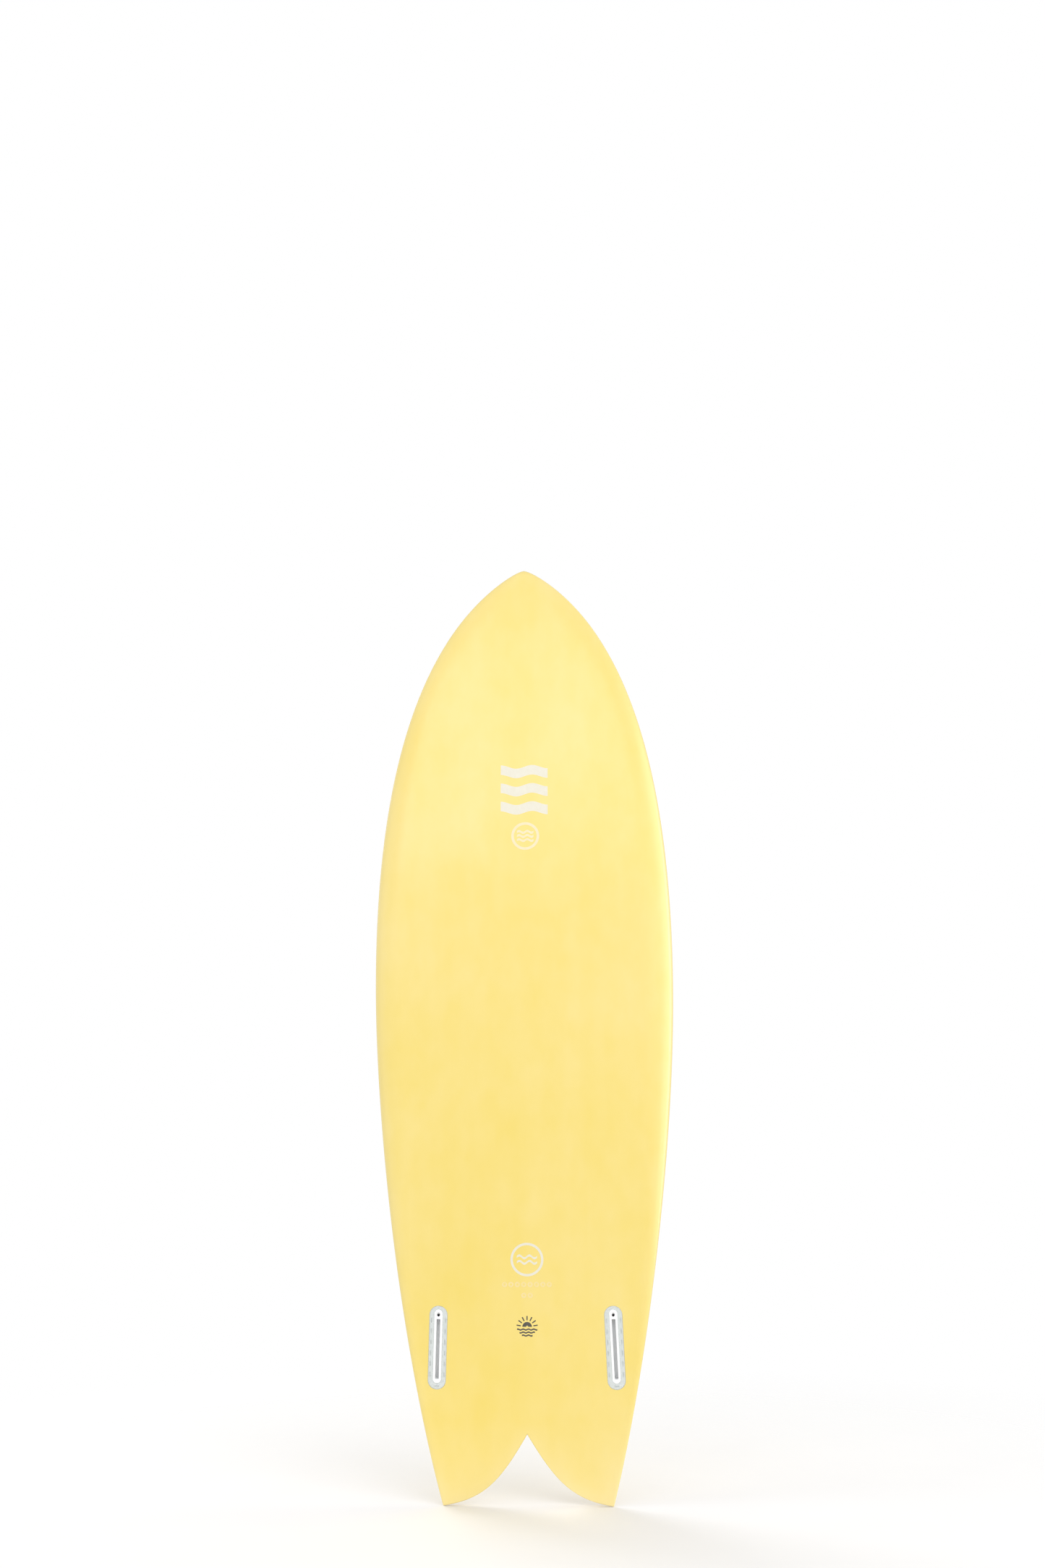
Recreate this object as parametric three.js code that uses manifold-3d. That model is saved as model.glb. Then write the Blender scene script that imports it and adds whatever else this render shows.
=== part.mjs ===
// A twin-fin fish surfboard with a swallow tail and two flush fin boxes, without its fins.
// Units are millimetres. The board stands on its tail: +Z runs from the tail tips to the nose, -Y is the bottom
// side and +Y the deck. The origin is on the ground, under the middle of the board's box.

import * as THREE from 'three';
import { mergeVertices } from 'three/addons/utils/BufferGeometryUtils.js';
import Module from 'manifold-3d';

const wasm = await Module();
wasm.setup();

// The board
const LENGTH = 1800;
const WIDE_POINT = 975;
const HALF_WIDTH = 285.5;
const TAIL_HALF_WIDTH = 160;
const THICKEST_POINT = 930;
const THICKNESS = 70;
const TAIL_THICKNESS = 20;
const NOSE_THICKNESS = 14;
const LOW_POINT = 820;
const TAIL_ROCKER = 45;
const NOSE_ROCKER = 120;
const TIP_ROUNDING = 10;

// How fast the bottom rises, and the thickness falls, towards each end: the power of the distance
const TAIL_ROCKER_POWER = 2.2;
const NOSE_ROCKER_POWER = 2.5;
const TAIL_FOIL_POWER = 1.9;
const NOSE_FOIL_POWER = 2.2;

// Outline of one side, as three cubic curves of (distance from the tail tips, half width)
const OUTLINE = [
  { steps: 14, points: [[0, TAIL_HALF_WIDTH], [230, 221], [654, HALF_WIDTH], [WIDE_POINT, HALF_WIDTH]] },
  { steps: 12, points: [[WIDE_POINT, HALF_WIDTH], [1274, HALF_WIDTH], [1514, 242], [1670, 140]] },
  { steps: 10, points: [[1670, 140], [1758, 82.5], [LENGTH, 14], [LENGTH, 0]] },
];

// Edge of one lobe of the swallow tail, from its tip to the crotch, as (half width, distance from the tips)
const NOTCH_DEPTH = 132.5;
const NOTCH_EDGE = [[154, 1], [83, 14], [52, 44], [0, NOTCH_DEPTH]];
const NOTCH_STEPS = 12;

// Rails: the share of the thickness below the widest line, and the width of the rounding under it
const TAIL_RAIL = { apexShare: 0.2, tuck: 14, end: 230 };
const BODY_RAIL = { apexShare: 0.42, tuck: 60, start: 800 };
const TUCK_STEPS = 4;
const DECK_STEPS = 6;
const DECK_FULLNESS = 3;
const WIDEST_TUCK_SHARE = 0.6;

// Skins and core
const GAP = 0.3;
const LAMINATE = 1.2;
const STRINGER = 4;

// Fin boxes: places on the bottom, then sizes in the box's own frame, where Z runs along the slot to the nose
// and Y goes down into the board
const BOX_FROM_TAIL = 292.5;
const BOX_FROM_CENTRE = 166.2;
const BOX_TOE_IN = THREE.MathUtils.degToRad(2.2);
const BOX_SUNK = 0.2;
const FLANGE = { length: 154, width: 33, top: 1.2, base: 3 };
const PLATEAU = { length: 136.5, width: 15.4, centre: 2.4 };
const BOX_BODY = { length: 136.5, width: 14, centre: 2.4, base: 19 };
const FIN_SLOT = { length: 111, width: 6.9, centre: -2.8, base: 16.5 };
const FLANGE_HOLES = { count: 6, spacing: 20, length: 9, width: 2.4, fromCentre: 11.8 };
const PATCH = { length: 155, width: 34, base: 0.9 };
const BED = { plateBase: 4.6, wall: 2, base: 20.6 };

// Fin screws: grub screws that slant from the face to the end of the slot
const SCREW_FROM_BOX_CENTRE = 61.4;
const SCREW_SLANT = THREE.MathUtils.degToRad(40);
const SCREW_BORE_RADIUS = 2.9;
const SCREW_RADIUS = 2.6;
const SCREW_LENGTH = 9;
const SCREW_CHAMFER = 0.6;
const SCREW_SUNK = 2.5;
const SCREW_BORE_LENGTH = 13.5;
const HEX_KEY_RADIUS = 1.38;
const HEX_KEY_DEPTH = 3;
const HEX_SIDES = 6;

// Leash plug: a round cup with a cross pin, potted beside the stringer
const PLUG_FROM_TAIL = 205;
const PLUG_FROM_CENTRE = 24;
const PLUG_SUNK = 0.3;
const CUP = { radius: 13.5, depth: 18, cavityRadius: 10.5, cavityDepth: 15 };
const PIN = { radius: 2.4, length: 25, below: 6.5 };
const PLUG_BED = { radius: 17, depth: 20.3 };
const ROUND_SIDES = 28;
const PIN_SIDES = 12;
const ARC_STEPS = 6;
const SMALL_ARC_STEPS = 2;

// Larger than the board, for the solids that only cut
const FAR = 2200;
const OVERCUT = 4;
const MERGE_DISTANCE = 1e-4;

const MATERIALS = {
  laminate: { color: 0xf8e28c, roughness: 0.42, metalness: 0 },
  foam: { color: 0xf4f2ea, roughness: 0.9, metalness: 0 },
  wood: { color: 0xc9a477, roughness: 0.7, metalness: 0 },
  box: { color: 0xf3f5f4, roughness: 0.45, metalness: 0 },
  clearResin: { color: 0xd9e0dc, roughness: 0.25, metalness: 0 },
  steel: { color: 0x9da1a5, roughness: 0.3, metalness: 1 },
};

const board = new THREE.Group();

// ---- solids ----

function toSolid(geometry, matrix = new THREE.Matrix4()) {
  const bare = geometry.clone();
  bare.deleteAttribute('normal');
  bare.deleteAttribute('uv');
  bare.applyMatrix4(matrix);
  const merged = mergeVertices(bare, MERGE_DISTANCE);
  const mesh = new wasm.Mesh({
    numProp: 3,
    vertProperties: Float32Array.from(merged.attributes.position.array),
    triVerts: Uint32Array.from(merged.index.array),
  });
  return new wasm.Manifold(mesh);
}

function toGeometry(solid) {
  const { vertProperties, triVerts } = solid.getMesh();
  const geometry = new THREE.BufferGeometry();
  geometry.setAttribute('position', new THREE.BufferAttribute(vertProperties, 3));
  geometry.setIndex(new THREE.BufferAttribute(triVerts, 1));
  geometry.computeVertexNormals();
  return geometry;
}

function addPiece(parent, name, material, solid) {
  const mesh = new THREE.Mesh(toGeometry(solid), new THREE.MeshStandardMaterial(MATERIALS[material]));
  mesh.name = name;
  parent.add(mesh);
}

// A block that fills the space on one side of the stringer, or the stringer's own slab
function slab(fromX, toX) {
  const box = new THREE.BoxGeometry(toX - fromX, FAR, 2 * FAR);
  return toSolid(box.translate((fromX + toX) / 2, 0, 0));
}

// A prism along Y of a shape drawn in X and Z
function prismAlongY(shape, fromY, toY, curveSegments = ARC_STEPS) {
  const geometry = new THREE.ExtrudeGeometry(shape, { depth: toY - fromY, bevelEnabled: false, curveSegments });
  geometry.rotateX(Math.PI / 2);
  return toSolid(geometry.translate(0, toY, 0));
}

function obround({ length, width, centre = 0, offset = 0 }) {
  const radius = width / 2;
  const reach = length / 2 - radius;
  const shape = new THREE.Shape();
  shape.absarc(offset, centre + reach, radius, 0, Math.PI);
  shape.absarc(offset, centre - reach, radius, Math.PI, 2 * Math.PI);
  shape.closePath();
  return shape;
}

function widened(size, by) {
  return { ...size, length: size.length + 2 * by, width: size.width + 2 * by };
}

function cylinder(radius, fromY, toY, sides = ROUND_SIDES) {
  const geometry = new THREE.CylinderGeometry(radius, radius, toY - fromY, sides);
  return toSolid(geometry.translate(0, (fromY + toY) / 2, 0));
}

// ---- the board's shape ----

function rocker(along) {
  if (along < LOW_POINT) {
    return TAIL_ROCKER * ((LOW_POINT - along) / LOW_POINT) ** TAIL_ROCKER_POWER;
  }
  return NOSE_ROCKER * ((along - LOW_POINT) / (LENGTH - LOW_POINT)) ** NOSE_ROCKER_POWER;
}

function rockerSlope(along) {
  const step = 1;
  return (rocker(along + step) - rocker(along - step)) / (2 * step);
}

function thickness(along) {
  if (along < THICKEST_POINT) {
    const toTail = (THICKEST_POINT - along) / THICKEST_POINT;
    return THREE.MathUtils.lerp(THICKNESS, TAIL_THICKNESS, toTail ** TAIL_FOIL_POWER);
  }
  const toNose = (along - THICKEST_POINT) / (LENGTH - THICKEST_POINT);
  return THREE.MathUtils.lerp(THICKNESS, NOSE_THICKNESS, toNose ** NOSE_FOIL_POWER);
}

function rail(along) {
  const blend = THREE.MathUtils.smoothstep(along, TAIL_RAIL.end, BODY_RAIL.start);
  return {
    apexShare: THREE.MathUtils.lerp(TAIL_RAIL.apexShare, BODY_RAIL.apexShare, blend),
    tuck: THREE.MathUtils.lerp(TAIL_RAIL.tuck, BODY_RAIL.tuck, blend),
  };
}

// Heights over the bottom's lowest line: the bottom, the rail's widest line and the deck
function heights(along) {
  const { apexShare } = rail(along);
  const fromTip = Math.min(Math.max(LENGTH - along, 0) / TIP_ROUNDING, 1);
  const full = thickness(along);
  const rounded = full * Math.sqrt(1 - (1 - fromTip) ** 2);
  const apex = rocker(along) + apexShare * full;
  return { low: apex - apexShare * rounded, apex, high: apex + (1 - apexShare) * rounded };
}

// Points round the board at one place, anticlockwise seen from the nose, moved in by inset
function section(along, halfWidth, inset) {
  const { low, apex, high } = heights(along);
  const under = apex - low - inset;
  const over = high - apex - inset;
  const tuck = Math.min(rail(along).tuck - inset, WIDEST_TUCK_SHARE * halfWidth);
  const side = [];
  for (let i = 0; i <= TUCK_STEPS; i++) {
    const angle = (1 - i / TUCK_STEPS) * Math.PI / 2;
    side.push([halfWidth - tuck * (1 - Math.cos(angle)), apex - under * Math.sin(angle)]);
  }
  for (let i = 1; i < DECK_STEPS; i++) {
    const angle = (i / DECK_STEPS) * Math.PI / 2;
    side.push([halfWidth * Math.cos(angle) ** (2 / DECK_FULLNESS), apex + over * Math.sin(angle)]);
  }
  const otherSide = side.map(([x, y]) => [-x, y]).reverse();
  return [[0, apex - under], ...side, [0, apex + over], ...otherSide];
}

// Places along one side of the outline, moved in by inset at right angles to it
function outlinePlaces(inset) {
  const places = [];
  for (const { steps, points } of OUTLINE) {
    const curve = new THREE.CubicBezierCurve(...points.map(([along, half]) => new THREE.Vector2(along, half)));
    for (let i = 0; i < steps; i++) {
      const point = curve.getPoint(i / steps);
      const tangent = curve.getTangent(i / steps);
      places.push({ along: point.x + tangent.y * inset, halfWidth: point.y - tangent.x * inset });
    }
  }
  places[0].along = inset;
  return places;
}

// The closed body of the board before the tail is cut, moved in by inset
function fullBody(inset) {
  const places = outlinePlaces(inset);
  const loops = places.map(({ along, halfWidth }) => section(along, halfWidth, inset));
  const count = loops[0].length;
  const positions = [];
  loops.forEach((loop, i) => loop.forEach(([x, y]) => positions.push(x, y, places[i].along)));
  const tailCentre = positions.length / 3;
  positions.push(0, heights(places[0].along).apex, places[0].along);
  const tip = tailCentre + 1;
  positions.push(0, heights(LENGTH).apex, LENGTH - inset);

  const index = [];
  for (let i = 0; i < count; i++) {
    const next = (i + 1) % count;
    index.push(tailCentre, next, i);
    for (let row = 0; row < loops.length - 1; row++) {
      const a = row * count + i;
      const b = row * count + next;
      index.push(a, b, b + count, a, b + count, a + count);
    }
    const last = (loops.length - 1) * count;
    index.push(last + i, last + next, tip);
  }
  const geometry = new THREE.BufferGeometry();
  geometry.setAttribute('position', new THREE.BufferAttribute(new Float32Array(positions), 3));
  geometry.setIndex(index);
  return toSolid(geometry);
}

// The space between the lobes of the swallow tail, made larger by inset
function notch(inset) {
  const curve = new THREE.CubicBezierCurve(...NOTCH_EDGE.map(([half, along]) => new THREE.Vector2(half, along)));
  const edge = [];
  for (let i = 0; i <= NOTCH_STEPS; i++) {
    const point = curve.getPoint(i / NOTCH_STEPS);
    const tangent = curve.getTangent(i / NOTCH_STEPS);
    edge.push(new THREE.Vector2(point.x + tangent.y * inset, point.y - tangent.x * inset));
  }
  const lastTangent = curve.getTangent(1);
  const crotch = new THREE.Vector2(0, NOTCH_DEPTH - inset / lastTangent.x);
  if (inset > 0) {
    edge.push(crotch);
  }
  const mouth = edge[0].x;
  const mirrored = edge.slice(0, -1).reverse().map((point) => new THREE.Vector2(-point.x, point.y));
  const outside = [new THREE.Vector2(-mouth, -FAR), new THREE.Vector2(mouth, -FAR)];
  return prismAlongY(new THREE.Shape([...edge, ...mirrored, ...outside]), -FAR, FAR);
}

function boardBody(inset) {
  return fullBody(inset).subtract(notch(inset));
}

// Everything on the bottom's side of the rail's widest line, moved by shift
function bottomSide(shift) {
  const line = outlinePlaces(0).map(({ along }) => new THREE.Vector2(along, heights(along).apex + shift));
  line.unshift(new THREE.Vector2(-FAR, line[0].y));
  line.push(new THREE.Vector2(FAR, line[line.length - 1].y));
  line.push(new THREE.Vector2(FAR, -FAR), new THREE.Vector2(-FAR, -FAR));
  const geometry = new THREE.ExtrudeGeometry(new THREE.Shape(line), { depth: FAR, bevelEnabled: false });
  geometry.rotateY(-Math.PI / 2);
  return toSolid(geometry.translate(FAR / 2, 0, 0));
}

// ---- fin boxes ----

function finBoxPlace(side) {
  const place = new THREE.Group();
  place.position.set(side * BOX_FROM_CENTRE, rocker(BOX_FROM_TAIL) + BOX_SUNK, BOX_FROM_TAIL);
  place.rotation.set(-Math.atan(rockerSlope(BOX_FROM_TAIL)), -side * BOX_TOE_IN, 0);
  place.updateMatrix();
  return place;
}

function screwMatrix() {
  const matrix = new THREE.Matrix4().makeRotationX(-SCREW_SLANT);
  return matrix.setPosition(0, 0, SCREW_FROM_BOX_CENTRE);
}

function finBoxSolid() {
  const holes = [];
  for (let i = 0; i < FLANGE_HOLES.count; i++) {
    for (const side of [-1, 1]) {
      const centre = (i - (FLANGE_HOLES.count - 1) / 2) * FLANGE_HOLES.spacing;
      holes.push(obround({ ...FLANGE_HOLES, centre, offset: side * FLANGE_HOLES.fromCentre }));
    }
  }
  const flangeShape = obround(FLANGE);
  flangeShape.holes.push(...holes);
  const flange = prismAlongY(flangeShape, FLANGE.top, FLANGE.base, SMALL_ARC_STEPS);
  const plateau = prismAlongY(obround(PLATEAU), 0, FLANGE.base);
  const body = prismAlongY(obround(BOX_BODY), FLANGE.top, BOX_BODY.base);
  const slot = prismAlongY(obround(FIN_SLOT), -OVERCUT, FIN_SLOT.base);
  const bore = cylinder(SCREW_BORE_RADIUS, -OVERCUT, SCREW_BORE_LENGTH).transform(screwMatrix().elements);
  return flange.add(plateau).add(body).subtract(slot).subtract(bore);
}

function finBoxPatchSolid() {
  const ring = prismAlongY(obround(PATCH), 0, PATCH.base);
  return ring.subtract(prismAlongY(obround(widened(PLATEAU, GAP)), -OVERCUT, OVERCUT));
}

function finBoxBedSolid() {
  const plate = prismAlongY(obround(FLANGE), FLANGE.base + GAP, BED.plateBase);
  const cup = prismAlongY(obround(widened(BOX_BODY, GAP + BED.wall)), FLANGE.base + GAP, BED.base);
  const inside = prismAlongY(obround(widened(BOX_BODY, GAP)), -OVERCUT, BOX_BODY.base + GAP);
  return plate.add(cup).subtract(inside);
}

function finScrewSolid() {
  const end = SCREW_SUNK + SCREW_LENGTH;
  const profile = [
    [0, SCREW_SUNK],
    [SCREW_RADIUS, SCREW_SUNK],
    [SCREW_RADIUS, end - SCREW_CHAMFER],
    [SCREW_RADIUS - SCREW_CHAMFER, end],
    [0, end],
  ];
  const points = profile.map(([radius, depth]) => new THREE.Vector2(radius, depth));
  const shank = toSolid(new THREE.LatheGeometry(points, PIN_SIDES * 2));
  const key = cylinder(HEX_KEY_RADIUS, 0, SCREW_SUNK + HEX_KEY_DEPTH, HEX_SIDES);
  return shank.subtract(key).transform(screwMatrix().elements);
}

function laminateOpening() {
  return prismAlongY(obround(widened(PATCH, GAP)), -OVERCUT, OVERCUT);
}

function foamPocket() {
  const wide = prismAlongY(obround(widened(PATCH, 2 * GAP)), -OVERCUT, BED.plateBase + GAP);
  return wide.add(prismAlongY(obround(widened(BOX_BODY, 2 * GAP + BED.wall)), -OVERCUT, BED.base + GAP));
}

// ---- leash plug, with Y as the way out of the cup ----

function leashPlugPlace() {
  const place = new THREE.Group();
  place.position.set(PLUG_FROM_CENTRE, heights(PLUG_FROM_TAIL).high - PLUG_SUNK, PLUG_FROM_TAIL);
  place.updateMatrix();
  return place;
}

function alongX(solid) {
  const turn = new THREE.Matrix4().makeRotationZ(Math.PI / 2);
  return solid.transform(turn.setPosition(0, -PIN.below, 0).elements);
}

function leashCupSolid() {
  const cavity = cylinder(CUP.cavityRadius, -CUP.cavityDepth, OVERCUT);
  const pinHoles = alongX(cylinder(PIN.radius + GAP, -CUP.radius - OVERCUT, CUP.radius + OVERCUT, PIN_SIDES));
  return cylinder(CUP.radius, -CUP.depth, 0).subtract(cavity).subtract(pinHoles);
}

function leashPinSolid() {
  return alongX(cylinder(PIN.radius, -PIN.length / 2, PIN.length / 2, PIN_SIDES));
}

function leashBedSolid() {
  const inside = cylinder(CUP.radius + GAP, -CUP.depth - GAP, OVERCUT);
  return cylinder(PLUG_BED.radius, -PLUG_BED.depth, 0).subtract(inside);
}

function leashPocket() {
  return cylinder(PLUG_BED.radius + GAP, -PLUG_BED.depth - GAP, OVERCUT);
}

// ---- assembly ----

const finBoxes = [{ name: 'left', place: finBoxPlace(-1) }, { name: 'right', place: finBoxPlace(1) }];
const plugPlace = leashPlugPlace();
const plugHole = leashPocket().transform(plugPlace.matrix.elements);

const shell = boardBody(0).subtract(boardBody(LAMINATE));
let lowShell = shell.intersect(bottomSide(-GAP / 2));
for (const { place } of finBoxes) {
  lowShell = lowShell.subtract(laminateOpening().transform(place.matrix.elements));
}
const highShell = shell.subtract(bottomSide(GAP / 2)).subtract(plugHole);
addPiece(board, 'bottom_laminate', 'laminate', lowShell);
addPiece(board, 'deck_laminate', 'laminate', highShell);

const core = boardBody(LAMINATE + GAP);
const halfGap = STRINGER / 2 + GAP;
const halves = { left: slab(-FAR, -halfGap), right: slab(halfGap, FAR) };
addPiece(board, 'stringer', 'wood', core.intersect(slab(-STRINGER / 2, STRINGER / 2)));
for (const { name, place } of finBoxes) {
  const pocket = foamPocket().transform(place.matrix.elements);
  addPiece(board, `foam_core_${name}`, 'foam', core.intersect(halves[name]).subtract(pocket).subtract(plugHole));
}

for (const { name, place } of finBoxes) {
  addPiece(place, `fin_box_${name}`, 'box', finBoxSolid());
  addPiece(place, `fin_box_patch_${name}`, 'clearResin', finBoxPatchSolid());
  addPiece(place, `fin_box_bed_${name}`, 'clearResin', finBoxBedSolid());
  addPiece(place, `fin_screw_${name}`, 'steel', finScrewSolid());
  board.add(place);
}

addPiece(plugPlace, 'leash_plug_cup', 'box', leashCupSolid());
addPiece(plugPlace, 'leash_plug_pin', 'steel', leashPinSolid());
addPiece(plugPlace, 'leash_plug_bed', 'clearResin', leashBedSolid());
board.add(plugPlace);

// The rocker and thickness are measured from the bottom's lowest line, so the board is moved to its middle
const depth = Math.max(...outlinePlaces(0).map(({ along }) => heights(along).high));
board.position.y = -depth / 2;

export default board;
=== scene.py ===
"""Looks of a twin-fin fish surfboard with a swallow tail.

It makes the fine skins, the fin boxes, their screws, the leash plug and the printed marks. Everything is in
metres, in the part's own frame: the board stands on its tail, +Z runs from the tail tips to the nose, -Y is
the bottom side and +Y the deck.
"""

import math

import bmesh
import bpy
import numpy as np
from mathutils import Matrix, Vector


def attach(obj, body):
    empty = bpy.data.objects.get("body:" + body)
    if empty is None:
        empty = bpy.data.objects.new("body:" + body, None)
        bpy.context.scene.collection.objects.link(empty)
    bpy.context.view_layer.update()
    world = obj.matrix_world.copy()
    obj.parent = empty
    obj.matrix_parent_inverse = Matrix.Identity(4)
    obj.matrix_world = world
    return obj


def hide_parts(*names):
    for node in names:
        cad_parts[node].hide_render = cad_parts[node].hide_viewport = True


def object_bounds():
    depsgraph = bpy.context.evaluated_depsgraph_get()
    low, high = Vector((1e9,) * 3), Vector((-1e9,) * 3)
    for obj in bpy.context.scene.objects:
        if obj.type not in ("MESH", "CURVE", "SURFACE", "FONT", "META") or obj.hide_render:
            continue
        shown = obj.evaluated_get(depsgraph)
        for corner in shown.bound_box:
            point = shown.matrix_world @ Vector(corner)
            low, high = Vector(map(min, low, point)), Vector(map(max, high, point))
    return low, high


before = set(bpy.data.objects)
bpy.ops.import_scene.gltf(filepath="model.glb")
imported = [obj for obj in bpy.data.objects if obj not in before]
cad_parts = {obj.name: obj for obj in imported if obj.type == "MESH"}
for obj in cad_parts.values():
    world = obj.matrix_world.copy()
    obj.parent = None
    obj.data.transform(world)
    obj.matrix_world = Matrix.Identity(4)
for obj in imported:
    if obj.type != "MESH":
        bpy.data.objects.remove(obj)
cad_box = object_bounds()

MM = 0.001

# ---- driving dimensions ----

LENGTH = cad_box[1].z
DECK_TOP = cad_box[1].y
WIDE_POINT = 975 * MM
HALF_WIDTH = 285.5 * MM
TAIL_HALF_WIDTH = 160 * MM
THICKEST_POINT = 930 * MM
THICKNESS = 70 * MM
TAIL_THICKNESS = 20 * MM
NOSE_THICKNESS = 14 * MM
LOW_POINT = 820 * MM
TAIL_ROCKER = 45 * MM
NOSE_ROCKER = 120 * MM
TIP_ROUNDING = 10 * MM
TAIL_ROCKER_POWER = 2.2
NOSE_ROCKER_POWER = 2.5
TAIL_FOIL_POWER = 1.9
NOSE_FOIL_POWER = 2.2

# Outline of one side, as cubic curves of (distance from the middle line, distance from the tail tips)
OUTLINE = [
    [(TAIL_HALF_WIDTH, 0), (0.221, 0.230), (HALF_WIDTH, 0.654), (HALF_WIDTH, WIDE_POINT)],
    [(HALF_WIDTH, WIDE_POINT), (HALF_WIDTH, 1.274), (0.242, 1.514), (0.140, 1.670)],
    [(0.140, 1.670), (0.0825, 1.758), (0.014, LENGTH), (0, LENGTH)],
]

# Inner edge of one tail lobe, from its tip to the crotch of the notch, as one such curve
NOTCH_DEPTH = 132.5 * MM
NOTCH_EDGE = [(0.154, 0.001), (0.083, 0.014), (0.052, 0.044), (0, NOTCH_DEPTH)]

# Rails: the share of the thickness below the widest line, and the width of the rounding under it
TAIL_RAIL = {"apex_share": 0.2, "tuck": 14 * MM, "end": 230 * MM}
BODY_RAIL = {"apex_share": 0.42, "tuck": 60 * MM, "start": 800 * MM}
WIDEST_TUCK_SHARE = 0.6
DECK_FULLNESS = 3
NOTCH_ROUNDING = {"bottom": 2.0 * MM, "deck": 4.0 * MM}
LAMINATE = 1.2 * MM
LAP_WIDTH = 48 * MM
EDGE_WEAR = 26 * MM

# Fin boxes, in the box's own frame: Z runs along the slot to the nose, and Y goes down into the board
BOX_FROM_TAIL = 292.5 * MM
BOX_FROM_CENTRE = 166.2 * MM
BOX_TOE_IN = math.radians(2.2)
FLANGE = {"length": 154 * MM, "width": 33 * MM, "top": 1.2 * MM, "base": 3 * MM}
PLATEAU = {"length": 136.5 * MM, "width": 15.4 * MM, "centre": 2.4 * MM, "base": 2 * MM}
BODY_BELOW_FLANGE_TOP = 0.1 * MM
BOX_BODY = {"length": 136.5 * MM, "width": 14 * MM, "centre": 2.4 * MM, "base": 19 * MM}
FIN_SLOT = {
    "length": 111 * MM,
    "width": 6.9 * MM,
    "corner": 1.2 * MM,
    "centre": -2.8 * MM,
    "base": 16.5 * MM,
}
FLANGE_HOLE = {"length": 9 * MM, "width": 2.4 * MM}
FLANGE_HOLES_ALONG = 6
FLANGE_HOLE_SPACING = 20 * MM
FLANGE_HOLES_FROM_CENTRE = 13.2 * MM
END_HOLE_FROM_CENTRE = 71.5 * MM
PATCH = {"length": 155 * MM, "width": 34 * MM}
PATCH_GAP = 0.05 * MM
SKIN_GAP = 0.04 * MM
EDGE_ROUNDING = 0.4 * MM

# Fin screws
SCREW_FROM_BOX_CENTRE = 61.4 * MM
SCREW_SLANT = math.radians(40)
SCREW_BORE_RADIUS = 2.9 * MM
SCREW_BORE_LENGTH = 13.5 * MM
SCREW_RADIUS = 2.6 * MM
SCREW_SUNK = 2.5 * MM
SCREW_LENGTH = 9 * MM
SCREW_CHAMFER = 0.2 * MM
SCREW_FACE_SHARE = 0.7
THREAD_PITCH = 0.8 * MM
THREAD_DEPTH = 0.35 * MM
HEX_KEY_RADIUS = 1.38 * MM
HEX_KEY_DEPTH = 3 * MM
HEX_SIDES = 6

# Leash plug
PLUG_FROM_TAIL = 205 * MM
PLUG_FROM_CENTRE = 24 * MM
PLUG_SUNK = 0.3 * MM
CUP = {"radius": 13.5 * MM, "depth": 18 * MM, "cavity_radius": 10.5 * MM, "cavity_depth": 15 * MM}
CUP_RIM_ROUNDING = 0.8 * MM
CUP_FLOOR_FILLET = 2 * MM
CUP_GAP = 0.1 * MM
PIN = {"radius": 2.4 * MM, "length": 25 * MM, "below": 6.5 * MM, "rounding": 0.5 * MM, "gap": 0.1 * MM}
PLUG_BED = {"radius": 17 * MM, "depth": 20.3 * MM, "gap": 0.05 * MM}

# Printed marks, which lie on the bottom under a thin coat
PRINT_PROUD = 0.12 * MM
PRINT_SUNK = 0.1 * MM

# How finely the round shapes are cut
NOTCH_ROWS = 56
CROTCH_ROWS = 7
CROTCH_ROW_SPACING = 0.4 * MM
CROTCH_ROW_POWER = 1.7
BODY_ROW_SPACING = 12 * MM
NOSE_STRETCH = 150 * MM
NOSE_ROWS = 28
EDGE_COLUMNS = 6
FLAT_COLUMNS = 10
RAIL_COLUMNS = 20
EDGE_SPREAD = 40 * MM
WIDEST_EDGE_SHARE = 0.3
WIDEST_RAIL_SHARE = 0.5
DEEPEST_ROUNDING_SHARE = 0.5
ROUND_STEPS = 48
SCREW_SIDES = 40
ROWS_PER_PITCH = 8
BEND_SPACING = 6 * MM
OUTLINE_STRIDE = 20
NOTCH_STRIDE = 8
OVERCUT = 4 * MM

# Points closer than the first are merged; the other two stand in for a radius or a divisor of zero
MERGE_DISTANCE = 1e-7
AXIS_RADIUS = 1e-6
TINY = 1e-9


# ---- the board's shape ----

def bezier(points, share):
    a, b, c, d = (np.array(point, float) for point in points)
    t = np.asarray(share, float)[..., None]
    return a * (1 - t) ** 3 + 3 * b * t * (1 - t) ** 2 + 3 * c * t * t * (1 - t) + d * t ** 3


def outline_table(steps=600):
    shares = np.linspace(0, 1, steps)
    return np.concatenate([bezier(curve, shares)[:-1] for curve in OUTLINE] + [[[0, LENGTH]]])


OUTLINE_TABLE = outline_table()


def half_width(along):
    return np.interp(along, OUTLINE_TABLE[:, 1], OUTLINE_TABLE[:, 0])


def rocker(along):
    to_tail = np.clip(LOW_POINT - along, 0, None) / LOW_POINT
    to_nose = np.clip(along - LOW_POINT, 0, None) / (LENGTH - LOW_POINT)
    return TAIL_ROCKER * to_tail ** TAIL_ROCKER_POWER + NOSE_ROCKER * to_nose ** NOSE_ROCKER_POWER


def thickness(along):
    to_tail = np.clip(THICKEST_POINT - along, 0, None) / THICKEST_POINT
    to_nose = np.clip(along - THICKEST_POINT, 0, None) / (LENGTH - THICKEST_POINT)
    tail_loss = (THICKNESS - TAIL_THICKNESS) * to_tail ** TAIL_FOIL_POWER
    nose_loss = (THICKNESS - NOSE_THICKNESS) * to_nose ** NOSE_FOIL_POWER
    return THICKNESS - tail_loss - nose_loss


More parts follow.
